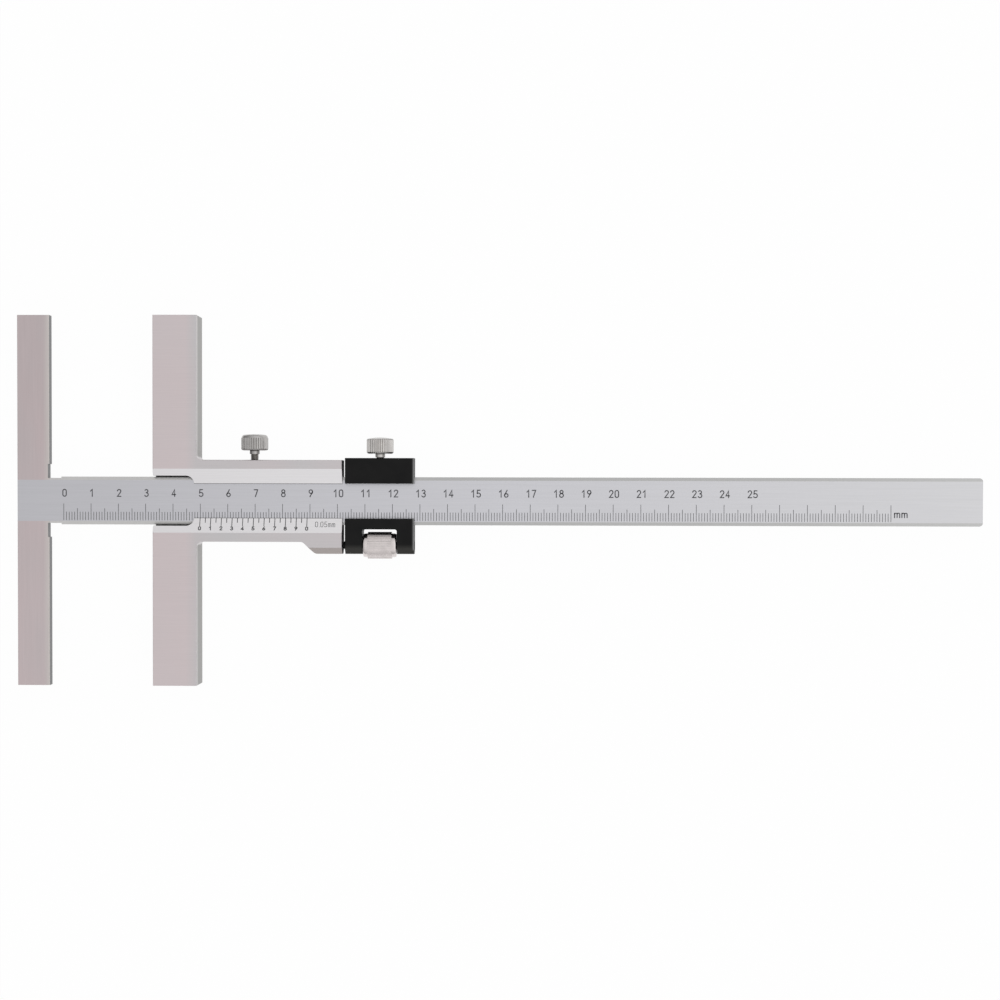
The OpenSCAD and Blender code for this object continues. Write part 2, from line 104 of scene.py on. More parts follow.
# The vernier: twenty divisions on the lower bevel, each a twentieth short of two millimetres
VERNIER_DIVISIONS = 20
VERNIER_STEP = 1.95 * MM
SIGHT_HALF_W = 6.2 * MM
BEVEL_W = 5.4 * MM
LIP_Z = beam_high.z + 0.35 * MM
BEVEL_RISE = slider_high.z - LIP_Z
BEVEL_LEN = math.hypot(BEVEL_W, BEVEL_RISE)
VERNIER_TICK_W = 0.26 * MM
VERNIER_TICK_TOP = -0.05 * MM
VERNIER_FEET = (-3.2 * MM, -1.85 * MM)
VERNIER_NUMBER_BASE = -4.63 * MM
VERNIER_NUMBER_H = 1.2 * MM
VERNIER_STRETCH = 1.3
VERNIER_STROKE = 0.33 * MM
VALUE_PLACE = (-65.9 * MM, -3.4 * MM)
VALUE_H = 1.93 * MM
VALUE_STRETCH = 0.9
VALUE_STROKE = 0.18 * MM

# Marks stand this far out of their surface, and reach as far into it
MARK_PROUD = 0.012 * MM

# Turned parts. Four points to a tooth give its land and its groove
POINTS_A_TOOTH = 4
HEAD_TEETH = 36
HEAD_KNURL = 0.22 * MM
WHEEL_TEETH = 48
WHEEL_KNURL = 0.09 * MM
THREAD_R = 1.5 * MM
THREAD_PITCH = 0.5 * MM
THREAD_DEPTH = 0.22 * MM
POINTS_A_PITCH = 8
SLIDER_HEAD_LEN = 5.9 * MM
CLAMP_HEAD_LEN = 5.95 * MM
CLAMP_CROWN = 0.6 * MM
HEAD_RIM = 0.35 * MM
NECK_R = 1.8 * MM
NECK_LEN = 1.3 * MM
SEAT_LEN = 8 * MM
POINTS_ROUND_SPINDLE = 48
SHARP_ANGLE = math.radians(28)

# The sharpest corner of a line keeps this much of its mitre, and these angles round its ends
MITRE_LIMIT = 0.5
CAP_ANGLES = (30, 55, 75)

# Finishes: the soft borders between them, the radius that edges are shaded to, and the depth
# of the grinding lines and of the tool rings, which are this fine and this long
SOFT = 0.05 * MM
EDGE_R = 0.1 * MM
SMALL_EDGE_R = 0.05 * MM
GROUND_DEPTH = 0.004 * MM
RING_DEPTH = 0.003 * MM
RING_FINE = 0.06 * MM
RING_LONG = 8 * MM

# The floor: how white the camera and the metal see it, and its own grey, which takes the shadow
FLOOR_HALF_W = 3.0
FLOOR_DROP = 0.02 * MM
FLOOR_WHITE = 0.97
FLOOR_GREY = 0.92

# The light's level, and how it grows towards the right and the top of the picture
LIGHT_LEVEL = 0.9
LIGHT_TOWARDS_X = 0.35
LIGHT_TOWARDS_Y = -0.02

# Its share near the horizon, and the heights between which it grows to the full light
LIGHT_LOW_SHARE = 0.6
LIGHT_HEIGHTS = (0.1, 0.75)


def add_object(name, mesh, material, body):
    """Links a mesh as a piece that rides on a body."""
    piece = bpy.data.objects.new(name, mesh)
    bpy.context.scene.collection.objects.link(piece)
    mesh.materials.append(material)
    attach(piece, body)
    return piece


def make_camera():
    data = bpy.data.cameras.new("camera")
    data.sensor_width = SENSOR_MM
    data.lens = CAMERA_FOCAL_PX * SENSOR_MM / PHOTO_PX
    data.shift_x, data.shift_y = (px / PHOTO_PX for px in CAMERA_SHIFT_PX)
    data.clip_start = CAMERA_NEAR
    camera = bpy.data.objects.new("camera", data)
    camera.location = CAMERA_PLACE
    camera.rotation_euler = (CAMERA_PITCH, CAMERA_YAW, CAMERA_ROLL)
    bpy.context.scene.collection.objects.link(camera)
    bpy.context.scene.camera = camera


# Materials

class Graph:
    """The node tree of a material or world, with short calls for the nodes used here."""

    def __init__(self, owner, place="Object"):
        owner.use_nodes = True
        self.owner = owner
        self.tree = owner.node_tree
        self.place_name = place
        self.splits = {}

    def node(self, kind, **settings):
        made = self.tree.nodes.new(kind)
        for key, value in settings.items():
            setattr(made, key, value)
        return made

    def put(self, socket, value):
        """Links a socket, or sets its constant."""
        if isinstance(value, bpy.types.NodeSocket):
            self.tree.links.new(value, socket)
        else:
            socket.default_value = value

    def math(self, operation, *values):
        made = self.node("ShaderNodeMath", operation=operation)
        for socket, value in zip(made.inputs, values):
            self.put(socket, value)
        return made.outputs[0]

    def times(self, *values):
        product = values[0]
        for value in values[1:]:
            product = self.math("MULTIPLY", product, value)
        return product

    def coordinate(self, name):
        return self.node("ShaderNodeTexCoord").outputs[name]

    def axis(self, letter, name=None):
        """The x, y or z of the place, in metres, or of another texture coordinate."""
        name = name or self.place_name
        if name not in self.splits:
            self.splits[name] = self.node("ShaderNodeSeparateXYZ")
            self.put(self.splits[name].inputs[0], self.coordinate(name))
        return self.splits[name].outputs["XYZ".index(letter)]

    def noise(self, size, detail=2.0, roughness=0.5, seed=(0, 0, 0)):
        """Noise whose grain is size, one length or one for each axis."""
        sizes = size if isinstance(size, tuple) else (size, size, size)
        mapping = self.node("ShaderNodeMapping")
        self.put(mapping.inputs["Vector"], self.coordinate(self.place_name))
        mapping.inputs["Location"].default_value = seed
        mapping.inputs["Scale"].default_value = [1 / s for s in sizes]
        made = self.node("ShaderNodeTexNoise")
        self.put(made.inputs["Vector"], mapping.outputs[0])
        made.inputs["Scale"].default_value = 1.0
        made.inputs["Detail"].default_value = detail
        made.inputs["Roughness"].default_value = roughness
        return made.outputs["Fac"]

    def span(self, value, low, high, to_low=0.0, to_high=1.0):
        """Maps low..high of a value to to_low..to_high, held at both ends."""
        made = self.node("ShaderNodeMapRange", clamp=True)
        for socket, v in zip(made.inputs, (value, low, high, to_low, to_high)):
            self.put(socket, v)
        return made.outputs[0]

    def between(self, value, low, high, soft=0.02 * MM):
        """1 where the value lies between low and high, with soft ends."""
        return self.times(self.span(value, low - soft, low + soft),
                          self.span(value, high - soft, high + soft, 1.0, 0.0))

    def facing(self, letter, sign):
        """1 on the faces that look along an axis."""
        return self.span(self.axis(letter, "Normal"), 0.8 * sign, 0.95 * sign)

    def mix(self, factor, a, b):
        """Mixes two colours. The node's colour sockets come after those of its other types."""
        made = self.node("ShaderNodeMix", data_type="RGBA")
        self.put(made.inputs["Factor"], factor)
        for socket, value in zip((made.inputs[6], made.inputs[7]), (a, b)):
            self.put(socket, value if isinstance(value, bpy.types.NodeSocket) else (*value, 1))
        return made.outputs[2]

    def scaled(self, colour, *tones):
        """A colour times one or more tones."""
        made = self.node("ShaderNodeVectorMath", operation="SCALE")
        self.put(made.inputs[0], colour)
        self.put(made.inputs["Scale"], self.times(*tones))
        return made.outputs[0]

    def finish(self, colour, roughness, metallic=1.0, bumps=(), edge=0.0, specular=0.5):
        """Sets the shader. Each bump is (height, depth); edge rounds the edges' shading."""
        shader = self.tree.nodes["Principled BSDF"]
        self.put(shader.inputs["Base Color"], colour)
        self.put(shader.inputs["Roughness"], roughness)
        self.put(shader.inputs["Metallic"], metallic)
        shader.inputs["Specular IOR Level"].default_value = specular
        normal = None
        if edge:
            bevel = self.node("ShaderNodeBevel", samples=4)
            bevel.inputs["Radius"].default_value = edge
            normal = bevel.outputs[0]
        for height, depth in bumps:
            bump = self.node("ShaderNodeBump")
            bump.inputs["Strength"].default_value = 1.0
            bump.inputs["Distance"].default_value = depth
            self.put(bump.inputs["Height"], height)
            if normal:
                self.put(bump.inputs["Normal"], normal)
            normal = bump.outputs[0]
        if normal:
            self.put(shader.inputs["Normal"], normal)
        return self.owner


def material_graph(name):
    return Graph(bpy.data.materials.new(name))


def grinding(graph, along, seed=(0, 0, 0)):
    """Grinding lines that run along x or y: long fine streaks of several widths."""
    long, fine = 24 * MM, 0.35 * MM
    size = (long, fine, fine) if along == "x" else (fine, long, fine)
    return graph.noise(size, detail=5.0, roughness=0.65, seed=seed)


def beam_material():
    """A satin rule face between ground bevels, and the marking bar ground lengthwise."""
    g = material_graph("beam_steel")
    dimmed_y, pale_edge_w = 40 * MM, 2.2 * MM
    bevel_dark_x, bevel_pale_x = -20 * MM, 95 * MM
    across = g.math("ABSOLUTE", g.axis("Y"))
    on_face = g.span(across, FACE_HALF_W + SOFT, FACE_HALF_W - SOFT)
    on_bevel = g.times(g.between(across, FACE_HALF_W, BEAM_HALF_W),
                       g.span(g.axis("X"), BAR_INNER_X, BAR_INNER_X + 2 * SOFT))
    on_wall = g.facing("X", 1)
    patch = g.span(g.noise((9 * MM, 30 * MM, 9 * MM), detail=1.0), 0.3, 0.7)
    # Painted light: the bar's pink tint is a reflection of warm light, and the bar is painted darker
    # towards +Y.
    bar = g.scaled(g.mix(patch, (0.600, 0.530, 0.538), (0.625, 0.535, 0.543)),
                   g.span(g.axis("Y"), -dimmed_y, dimmed_y, 1.0, 0.935))
    near_edge = g.span(g.axis("X"), BAR_INNER_X - pale_edge_w, BAR_INNER_X)
    bar = g.mix(near_edge, bar, (0.650, 0.610, 0.590))
    # Painted light: the satin face is coloured paler towards +X.
    left = g.mix(g.span(g.axis("X"), beam_low.x, 0), (0.588, 0.584, 0.616), (0.643, 0.641, 0.675))
    face = g.mix(g.span(g.axis("X"), 0, beam_high.x), left, (0.668, 0.666, 0.683))
    darker = g.span(g.axis("X"), BAR_INNER_X, bevel_dark_x)
    middle = g.mix(darker, (0.655, 0.645, 0.640), (0.510, 0.510, 0.507))
    bevel = g.mix(g.span(g.axis("X"), bevel_pale_x, beam_high.x), middle, (0.560, 0.560, 0.556))
    plain = g.mix(on_bevel, g.mix(on_face, bar, face), bevel)
    # Painted shade: the bar's side wall facing +X is coloured dark.
    shaded = g.mix(on_wall, plain, (0.275, 0.275, 0.278))
    streak = g.mix(on_face, grinding(g, "y"), grinding(g, "x", (3, 1, 2)))
    base = g.scaled(shaded, g.span(streak, 0.25, 0.75, 0.95, 1.05))
    speckle = g.noise(0.22 * MM, detail=3.0, roughness=0.7)
    rough = g.math("MAXIMUM", g.span(streak, 0.3, 0.7, 0.34, 0.42), g.span(on_wall, 0, 1, 0, 0.6))
    return g.finish(base, rough, bumps=[(streak, GROUND_DEPTH), (speckle, GROUND_DEPTH)], edge=EDGE_R)


def slider_material():
    """Ground stop and body, plated bevels beside the sight opening, dark slot and right end, with painted
    light and shade.
    """
    g = material_graph("slider_steel")
    lip_back_z, lip_edge_w = LIP_Z - 0.4 * MM, 0.16 * MM
    sight_y, slot_y = SIGHT_HALF_W - 0.5 * MM, BEAM_HALF_W + 0.5 * MM
    wall_dark_z, wall_pale_z = slider_high.z - 3.8 * MM, slider_high.z - 1.8 * MM
    slot_top_z = LIP_Z - 0.9 * MM
    end_x = slider_high.x - 0.06 * MM
    across = g.math("ABSOLUTE", g.axis("Y"))
    in_front = g.span(g.axis("Z"), lip_back_z, lip_back_z + 0.04 * MM)
    # The plated bevels' pale colour is partly their plating and partly a painted highlight for the light
    # their slope catches.
    plated = g.times(g.between(across, sight_y, SIGHT_HALF_W + BEVEL_W), in_front)
    # Painted shadow: a dark line along the lip edges, where the lips shade the beam.
    lip_edge = g.times(g.between(across, sight_y, SIGHT_HALF_W + lip_edge_w), in_front)
    # Painted shade: the boss's lower bevel is coloured darker, for the dark ground it reflects.
    body_bevel = g.times(g.span(g.axis("Y"), BOSS_BEVEL_Y, BOSS_BEVEL_Y - 2 * SOFT),
                         g.span(g.axis("X"), STOP_INNER_X + 2 * MM, STOP_INNER_X + 3 * MM))
    # The stop's and body's pink tint is a painted reflection of warm light.
    patch = g.span(g.noise((22 * MM, 34 * MM, 20 * MM), detail=1.0), 0.3, 0.7)
    body = g.mix(patch, (0.602, 0.592, 0.600), (0.632, 0.585, 0.596))
    stop = g.mix(patch, (0.668, 0.600, 0.610), (0.680, 0.598, 0.607))
    flat = g.mix(g.span(g.axis("X"), STOP_INNER_X - 4 * MM, STOP_INNER_X), stop, body)
    faces = g.mix(body_bevel, g.mix(plated, flat, (0.845, 0.828, 0.842)), (0.495, 0.449, 0.435))
    lipped = g.mix(lip_edge, faces, (0.220, 0.216, 0.224))
    # Painted shade: the side walls facing +X are darker towards the floor and paler near the front face.
    near_front = g.span(g.axis("Z"), wall_dark_z, wall_pale_z)
    wall = g.mix(near_front, (0.430, 0.425, 0.415), (0.640, 0.620, 0.620))
    on_wall = g.facing("X", 1)
    # Painted shade: the right end face and the slot's and pocket's walls are coloured black, dull and not
    # metallic, for the deep shade in them.
    at_end = g.span(g.axis("X"), end_x - 0.06 * MM, end_x)
    slot_sides = g.times(g.span(across, slot_y, slot_y - SOFT),
                         g.span(g.axis("Z"), SLOT_LOW_Z - 0.04 * MM, SLOT_LOW_Z - 0.01 * MM))
    in_slot = g.times(slot_sides, g.span(g.axis("Z"), slot_top_z, slot_top_z - 2 * SOFT))
    upright = g.span(g.math("ABSOLUTE", g.axis("Z", "Normal")), 0.3, 0.2)
    in_pocket = g.times(upright, slot_sides,
                        g.span(g.axis("X"), POCKET_END_X + 2 * SOFT, POCKET_END_X + SOFT))
    dark = g.math("MAXIMUM", g.times(at_end, on_wall), g.math("MAXIMUM", in_slot, in_pocket))
    streak = grinding(g, "x")
    coloured = g.mix(dark, g.mix(on_wall, lipped, wall), (0.012, 0.012, 0.012))
    base = g.scaled(coloured, g.span(streak, 0.25, 0.75, 0.96, 1.04))
    dull = g.math("MAXIMUM", g.span(on_wall, 0, 1, 0, 0.6), g.span(dark, 0, 1, 0, 0.95))
    rough = g.math("MAXIMUM", g.span(streak, 0.3, 0.7, 0.33, 0.41), dull)
    metallic = g.span(dark, 0, 1, 1.0, 0.0)
    return g.finish(base, rough, metallic, bumps=[(streak, GROUND_DEPTH)], edge=EDGE_R)


def black_oxide():
    """Blackened steel, with a painted highlight along its right front edge and a painted paler reflection
    on its lower bevels.
    """
    g = material_graph("black_clamp")
    highlight_w, highlight_from_z, highlight_to_z = 0.85 * MM, clamp_high.z - 1.2 * MM, clamp_high.z - 0.6 * MM
    grain = g.noise(0.25 * MM, detail=4.0, roughness=0.65)
    cloud = g.span(g.noise(6 * MM, detail=2.0), 0.35, 0.65)
    black = g.mix(cloud, (0.0066, 0.0066, 0.0068), (0.0092, 0.0090, 0.0090))
    # Painted reflection: the lower bevels are coloured paler than the black.
    bevelled = g.span(g.axis("Y"), BOSS_BEVEL_Y + 1.2 * MM, BOSS_BEVEL_Y - 0.3 * MM)
    lower = g.mix(bevelled, black, (0.0370, 0.0360, 0.0335))
    # Painted highlight: pale grey along the right front edge, where it catches the light.
    outward = g.span(g.axis("X"), clamp_high.x - highlight_w, clamp_high.x)
    painted_highlight = g.times(outward, outward, g.span(g.axis("Z"), highlight_from_z, highlight_to_z))
    base = g.mix(painted_highlight, lower, (0.300, 0.300, 0.300))
    rough = g.span(grain, 0.3, 0.7, 0.40, 0.50)
    return g.finish(base, rough, metallic=0.0, bumps=[(grain, 0.006 * MM)], edge=0.12 * MM, specular=0.12)


def turning(graph, axis):
    """Fine tool rings round an axis, and a cloudy tone to scale a colour by."""
    size = tuple(RING_FINE if letter == axis else RING_LONG for letter in "xyz")
    rings = graph.noise(size, detail=3.0, roughness=0.6)
    return rings, graph.span(graph.noise(2.5 * MM, detail=2.0), 0.35, 0.65, 0.95, 1.05)


def turned_steel(name, colour, roughness=0.3, axis="y"):
    """Turned and knurled steel."""
    g = material_graph(name)
    rings, cloud = turning(g, axis)
    rough = g.span(rings, 0.3, 0.7, roughness - 0.04, roughness + 0.05)
    return g.finish(g.scaled(colour, cloud), rough, bumps=[(rings, RING_DEPTH)], edge=SMALL_EDGE_R)


def lock_screw_steel(name, colour, neck_y, under_y, dark_flanks):
    """Bright turned steel, with painted shade: dark in the thread, under the head and in bands on its
    flanks.
    """
    g = material_graph(name)
    y = g.axis("Y")
    under_shade, flank_soft = 0.3 * MM, 0.15 * MM
    rings, cloud = turning(g, "y")
    below_neck = g.span(y, neck_y, neck_y - 2 * SOFT)
    dark = g.between(y, under_y - under_shade, under_y + 0.02 * MM, SOFT)
    flank = g.span(g.math("ABSOLUTE", g.axis("X", "Normal")), 0.3, 0.7)
    # Painted shade: bands on the flanks that face along x are darkened.
    for start, end, share in dark_flanks:
        dark = g.math("MAXIMUM", dark, g.times(flank, g.between(y, start, end, flank_soft), share))
    # Painted shade: the thread is coloured darker than the head.
    threaded = g.mix(below_neck, colour, (0.330, 0.320, 0.305))
    shaded = g.mix(dark, threaded, (0.130, 0.125, 0.120))
    rough = g.span(rings, 0.3, 0.7, 0.18, 0.26)
    return g.finish(g.scaled(shaded, cloud), rough, bumps=[(rings, RING_DEPTH)], edge=SMALL_EDGE_R)


def rolled_bronze():
    """Bronze strip, rolled lengthwise."""
    g = material_graph("gib_bronze")
    streak = grinding(g, "x", (1, 5, 2))
    cloud = g.span(g.noise(5 * MM), 0.35, 0.65)
    bronze = g.mix(cloud, (0.50, 0.34, 0.15), (0.58, 0.41, 0.19))
    base = g.scaled(bronze, g.span(streak, 0.25, 0.75, 0.9, 1.05))
    rough = g.span(streak, 0.3, 0.7, 0.34, 0.46)
    return g.finish(base, rough, bumps=[(streak, GROUND_DEPTH)], edge=SMALL_EDGE_R)


def black_screw():
    """Blackened machine screw steel."""
    g = material_graph("black_screw")
    grain = g.noise(0.2 * MM, detail=4.0, roughness=0.6)
    base = g.mix(g.span(grain, 0.3, 0.7), (0.030, 0.030, 0.031), (0.060, 0.059, 0.058))
    rough = g.span(grain, 0.3, 0.7, 0.32, 0.44)
    return g.finish(base, rough, metallic=0.6, bumps=[(grain, GROUND_DEPTH)], edge=SMALL_EDGE_R)


def filled_marks(name, dark, pale):
    """Filling of the engraved marks, a little uneven."""
    g = material_graph(name)
    grain, blue = g.noise(0.12 * MM, detail=2.0), 1.08
    base = g.mix(g.span(grain, 0.3, 0.7), (dark, dark, dark * blue), (pale, pale, pale * blue))
    return g.finish(base, g.span(grain, 0.3, 0.7, 0.5, 0.65), metallic=0.0, specular=0.3)


# Strokes: flat ribbons along a line, for ticks and figures

def arc(x, y, r, start, end, steps=10, ry=None):
    """Points along an arc, by angles in degrees."""
    turn = [math.radians(start + (end - start) * i / steps) for i in range(steps + 1)]
    return [(x + r * math.cos(a), y + (ry or r) * math.sin(a)) for a in turn]


FIGURE_W = 0.5
HALF = FIGURE_W / 2


def figure_strokes():
    """Centre lines of plain engraved figures, in a box FIGURE_W wide and 1 high."""
    low_loop, top_loop = 0.27, 0.22
    return {
        "0": [arc(HALF, 1 - HALF, HALF, 180, 0) + arc(HALF, HALF, HALF, 0, -180) + [(0, 1 - HALF)]],
        "1": [[(0.06, 0.74), (0.31, 1), (0.31, 0)]],
        "2": [arc(HALF, 1 - HALF, HALF, 170, -38) + [(0.0, 0.0), (FIGURE_W, 0.0)]],
        "3": [arc(HALF - 0.01, 1 - top_loop, top_loop, 150, -90)
              + arc(HALF - 0.01, low_loop, low_loop, 90, -152)],
        "4": [[(0.37, 0), (0.37, 1), (0, 0.27), (0.52, 0.27)]],
        "5": [[(0.45, 1), (0.07, 1), (0.03, 0.52)] + arc(0.225, 0.3, 0.29, 132, -148)],
        "6": [arc(HALF, HALF, HALF, 90, 450, 16),
              [(0.37, 1)] + arc(HALF + 0.1, HALF + 0.02, HALF + 0.1, 128, 180, 6)],
        "7": [[(0, 1), (0.5, 1), (0.17, 0)]],
        "8": [arc(HALF, 1 - top_loop, top_loop, -90, 270, 16), arc(HALF, low_loop, low_loop, 90, 450, 16)],
        "9": [arc(HALF, 1 - HALF, HALF, 270, 630, 16),
              [(0.13, 0)] + arc(HALF - 0.1, 1 - HALF - 0.02, HALF + 0.1, -52, 0, 6)],
        ".": [[(0.0, 0.02), (0.06, 0.02)]],
        "m": [[(0, 0), (0, 0.68)], arc(0.14, 0.54, 0.14, 180, 0, 8) + [(0.28, 0)],
              arc(0.42, 0.54, 0.14, 180, 0, 8) + [(0.56, 0)]],
    }


FIGURES = figure_strokes()
FIGURE_GAP = 0.31
FIGURE_ADVANCE = {".": 0.30, "m": 0.80}


def text_width(text):
    return sum(FIGURE_ADVANCE.get(c, FIGURE_W + FIGURE_GAP) for c in text) - FIGURE_GAP


def text_lines(text, x, y, height, centred=True, stretch=1.0):
    """The strokes of a text whose foot is at y, centred on x or starting there."""
    wide = height * stretch
    pen = x - (text_width(text) * wide / 2 if centred else 0)
    lines = []
    for c in text:
        lines += [[(pen + px * wide, y + py * height) for px, py in stroke] for stroke in FIGURES[c]]
        pen += FIGURE_ADVANCE.get(c, FIGURE_W + FIGURE_GAP) * wide
    return lines


def ribbon_sections(points, width, round_ends):
    """Cross-sections (left, right) along a line, with rounded ends if wanted."""
    half = width / 2
    closed = math.dist(points[0], points[-1]) < width / 10
    if closed:
        points = points[:-1]
    count = len(points)
    sections = []
    for i, (x, y) in enumerate(points):
        before = points[i - 1] if i or closed else points[i]
        after = points[(i + 1) % count] if i < count - 1 or closed else points[i]
        first = unit(x - before[0], y - before[1])
        second = unit(after[0] - x, after[1] - y)
        dx, dy = unit(first[0] + second[0], first[1] + second[1])
        onward = second if any(second) else first
        reach = half / max(MITRE_LIMIT, abs(dx * onward[0] + dy * onward[1]))
        sections.append(((x - dy * reach, y + dx * reach), (x + dy * reach, y - dx * reach)))
    if round_ends and not closed:
        head = unit(points[0][0] - points[1][0], points[0][1] - points[1][1])
        tail = unit(points[-1][0] - points[-2][0], points[-1][1] - points[-2][1])
        sections = (cap(points[0], head, half, -1)[::-1] + sections + cap(points[-1], tail, half, 1))
    return sections, closed


def unit(x, y):
    length = math.hypot(x, y)
    return (x / length, y / length) if length > 1e-12 else (0.0, 0.0)


def cap(point, direction, half, side):
    """The extra cross-sections that round the end of a ribbon."""
    dx, dy = direction
    made = []
    for angle in CAP_ANGLES:
        out, wide = half * math.sin(math.radians(angle)), half * math.cos(math.radians(angle)) * side
        x, y = point[0] + dx * out, point[1] + dy * out
        made.append(((x - dy * wide, y + dx * wide), (x + dy * wide, y - dx * wide)))
    return made


def lay_flat(x, y):
    """A place on the beam's scale face."""
    return (x, y, beam_high.z), (0, 0, 1)


def lay_on_bevel(x, up):
    """A place on the lower vernier bevel, up being measured from its lip edge, downwards in y."""
    share = -up / BEVEL_LEN
    tilt = (BEVEL_RISE / BEVEL_LEN, BEVEL_W / BEVEL_LEN)
    return (x, -SIGHT_HALF_W - BEVEL_W * share, LIP_Z + BEVEL_RISE * share), (0, tilt[0], tilt[1])


def marks_mesh(name, lines, width, lay, round_ends=True):
    """All the lines as thin ribbons, sunk and proud by the same amount."""
    mesh = bpy.data.meshes.new(name)
    bm = bmesh.new()
    for points in lines:
        sections, closed = ribbon_sections(points, width, round_ends)
        rings = []
        for left, right in sections:
            ring = []
            for (x, y), rise in ((left, 1), (right, 1), (right, -1), (left, -1)):
                place, normal = lay(x, y)
                ring.append(bm.verts.new([p + n * MARK_PROUD * rise for p, n in zip(place, normal)]))
            rings.append(ring)
        pairs = list(zip(rings, rings[1:])) + ([(rings[-1], rings[0])] if closed else [])
        for a, b in pairs:
            for i in range(4):
                j = (i + 1) % 4
                bm.faces.new((a[i], a[j], b[j], b[i]))
        if not closed:
            bm.faces.new(rings[0][::-1])
            bm.faces.new(rings[-1])
    bmesh.ops.recalc_face_normals(bm, faces=bm.faces)
    bm.to_mesh(mesh)
    bm.free()
    return mesh


def make_scale():
    tick_filling = filled_marks("tick_filling", 0.060, 0.090)
    number_filling = filled_marks("number_filling", 0.075, 0.105)
    zero = beam_low.x + ZERO_OFFSET
    ticks = []
    for i in range(SCALE_LEN_MM + 1):
        top = TICK_TOPS[10 if i % 10 == 0 else 5 if i % 5 == 0 else 1]
        ticks.append([(zero + i * MM, SCALE_FOOT_Y), (zero + i * MM, top)])
    numbers = []
    for n in range(LAST_NUMBER + 1):
        numbers += text_lines(str(n), zero + n * 10 * MM + NUMBER_OFFSET, NUMBER_BASE_Y, NUMBER_H)
    unit_word = text_lines("mm", *UNIT_PLACE, UNIT_H, centred=False, stretch=UNIT_STRETCH)
    for name, lines, width, filling, rounded in (
            ("scale_ticks", ticks, TICK_W, tick_filling, False),
            ("scale_numbers", numbers, NUMBER_STROKE, number_filling, True),
            ("scale_unit", unit_word, NUMBER_STROKE, number_filling, True)):
        mesh = marks_mesh(name, lines, width, lay_flat, rounded)
        add_object(name, mesh, filling, "beam")


def make_vernier():
    filling = filled_marks("vernier_filling", 0.022, 0.040)
    value_filling = filled_marks("value_filling", 0.050, 0.080)
    zero = slider_low.x + ZERO_OFFSET
    ticks, numbers = [], []
    for i in range(VERNIER_DIVISIONS + 1):
        x = zero + i * VERNIER_STEP
        ticks.append([(x, VERNIER_TICK_TOP), (x, VERNIER_FEET[i % 2])])
        if i % 2 == 0:
            numbers += text_lines(str(i // 2 % 10), x, VERNIER_NUMBER_BASE, VERNIER_NUMBER_H,
                                  stretch=VERNIER_STRETCH)
    value = text_lines("0.05mm", *VALUE_PLACE, VALUE_H, centred=False, stretch=VALUE_STRETCH)
    for name, lines, width, colour, rounded in (
            ("vernier_ticks", ticks, VERNIER_TICK_W, filling, False),
            ("vernier_numbers", numbers, VERNIER_STROKE, filling, True),
            ("vernier_value", value, VALUE_STROKE, value_filling, True)):
        mesh = marks_mesh(name, lines, width, lay_on_bevel, rounded)
        add_object(name, mesh, colour, "slider")


# Turned parts: an outline of (radius, place along the axis, cut) points, spun round the axis.
# A cut is None, or gives the largest radius there at a turn.

def turned_mesh(name, outline, around, place, bored=False):
    """A closed skin of rings. A bored part's outline closes on itself, another's ends at the axis."""
    mesh = bpy.data.meshes.new(name)
    bm = bmesh.new()
    turns = [2 * math.pi * k / around for k in range(around)]
    rings = [[bm.verts.new(place(s, min(r, cut(s, t)) if cut else r, t)) for t in turns]
             for r, s, cut in outline]
    pairs = list(zip(rings, rings[1:])) + ([(rings[-1], rings[0])] if bored else [])
    for a, b in pairs:
        for k in range(around):
            n = (k + 1) % around
            bm.faces.new((a[k], b[k], b[n], a[n]))
    for ring in () if bored else (rings[0], rings[-1]):
        centre = bm.verts.new([sum(v.co[i] for v in ring) / around for i in range(3)])
        for k in range(around):
            bm.faces.new((ring[k], ring[(k + 1) % around], centre))
    bmesh.ops.recalc_face_normals(bm, faces=bm.faces)
    bm.to_mesh(mesh)
    bm.free()
    mesh.shade_smooth()
    mesh.set_sharp_from_angle(angle=SHARP_ANGLE)
    return mesh


def triangle_wave(phase):
    """1 at whole phases, 0 halfway between them."""
    return abs(2 * (phase % 1) - 1)


def knurl_cut(blank_r, teeth, depth):
    """A straight knurl: V grooves between lands that keep the blank's surface."""
    return lambda s, turn: blank_r + depth * (2 * triangle_wave(turn * teeth / (2 * math.pi)) - 1)


def thread_cut(s, turn):
    """A right-hand M3 thread with small flats on its crests and roots."""
    wave = triangle_wave(s / THREAD_PITCH - turn / (2 * math.pi))
    return THREAD_R - THREAD_DEPTH * min(1, max(0, 1.3 * wave - 0.15))


def thread_outline(start, end):
    steps = math.ceil((end - start) / THREAD_PITCH * POINTS_A_PITCH)
    return [(THREAD_R, start + (end - start) * i / steps, thread_cut) for i in range(steps + 1)]


def crown_outline(rim_r, rim_s, rise):
    """A shallow crown that rises from a rim to the small flat in its middle."""
    r = (rim_r ** 2 + rise ** 2) / (2 * rise)
    rim_angle = math.degrees(math.asin(rim_r / r))
    flat_angle, steps = rim_angle / 8, 8
    return arc(0, rim_s + rise - r, r, 90 - rim_angle, 90 - flat_angle, steps)


def slider_head(r, height):
    """The knurled flank and the plain top of a head rounded at both, from its underside at 0."""
    foot_r, top_r, rise, step = 0.8 * MM, 1.2 * MM, 0.2 * MM, 0.12 * MM
    shoulder = height - rise
    flank = arc(r - foot_r, foot_r, foot_r, 270, 360) + [(r, shoulder - top_r)]
    top = arc(r - top_r, shoulder - top_r, top_r - step, 0, 84, ry=top_r)
    return flank, top + crown_outline(r - top_r, shoulder, rise)


def clamp_head(r, height):
    """The knurled flank of a head bevelled at the foot, and its narrow rim and plain crown."""
    bevel = 0.5 * MM
    shoulder = height - CLAMP_CROWN
    flank = [(r - bevel, 0), (r, bevel), (r, shoulder - HEAD_RIM)]
    return flank, crown_outline(r - HEAD_RIM, shoulder, CLAMP_CROWN)


